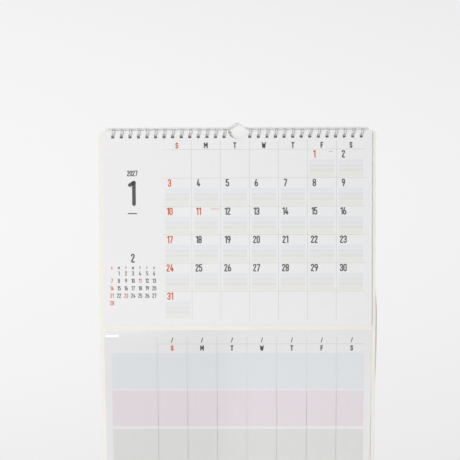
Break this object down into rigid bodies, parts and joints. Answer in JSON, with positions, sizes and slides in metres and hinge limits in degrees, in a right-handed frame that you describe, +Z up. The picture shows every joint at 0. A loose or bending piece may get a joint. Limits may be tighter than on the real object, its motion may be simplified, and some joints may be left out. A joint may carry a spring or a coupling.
{
  "type": "wall calendar",
  "caption": "Hanging wall calendar: monthly sheets bound with twin-loop wire to a creased card board, with a glossy writing sheet below and a wire hanger over a thumb notch.",
  "frame": {"origin": "The point where a nail carries the hanger, on the underside of the crown of its bend, mid-width.", "axes": "+X to the reader's right along the loops, +Y back into the wall, +Z up."},
  "size_m": [0.308, 0.0139, 0.4464],
  "materials": {
    "board_card": "matt cream card",
    "writing_film": "glossy white film that takes a dry-wipe pen",
    "sheet_paper": "uncoated white paper",
    "loop_wire": "smooth pale grey coated wire",
    "hanger_wire": "smooth pale grey coated wire"
  },
  "bodies": {
    "hanger": {"hanger": "hanger_wire"},
    "calendar": {"backing_board": "board_card", "whiteboard_sheet": "writing_film", "wire_left": "loop_wire", "wire_right": "loop_wire"},
    "sheets": {"monthly_sheets": "sheet_paper"}
  },
  "joints": [
    {"name": "calendar_swing", "type": "hinge", "parent": "hanger", "child": "calendar", "pos_m": [0, 0, -0.0059], "axis": [-1, 0, 0], "range_deg": [0, 90]},
    {"name": "sheets_lift", "type": "hinge", "parent": "calendar", "child": "sheets", "pos_m": [0, 0, -0.00857], "axis": [-1, 0, 0], "range_deg": [0, 90]}
  ]
}
